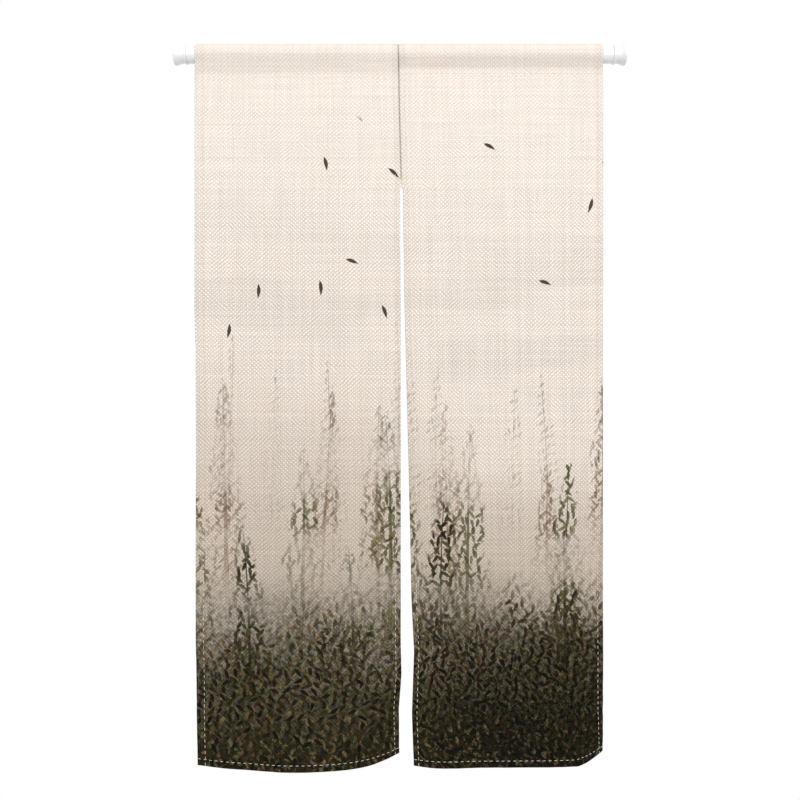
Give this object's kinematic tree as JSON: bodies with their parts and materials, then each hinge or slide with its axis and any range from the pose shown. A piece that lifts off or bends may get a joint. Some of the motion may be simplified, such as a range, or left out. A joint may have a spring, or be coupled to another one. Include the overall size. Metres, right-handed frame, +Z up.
{
  "type": "door curtain with tension rod",
  "caption": "Split doorway curtain of two hemmed linen-look panels, joined at the top, hanging by its rod pocket from a white tension rod.",
  "frame": {"origin": "centre of the left end cap's flat outer face, on the rod's axis", "axes": "+X along the rod to the right as seen from the printed side, +Z up, -Y towards the viewer on the printed side"},
  "size_m": [0.936, 0.0841, 1.5001],
  "materials": {
    "linen_left": "matt printed plain weave, cream at the top and darker towards the foot",
    "linen_right": "matt printed plain weave, cream at the top and darker towards the foot",
    "rod_white": "satin white paint on thin steel",
    "cap_white": "matt white moulded plastic"
  },
  "bodies": {
    "root": {"panel_left": "linen_left", "panel_right": "linen_right", "rod_tube": "rod_white", "cap_left": "cap_white", "cap_right": "cap_white"}
  },
  "joints": []
}
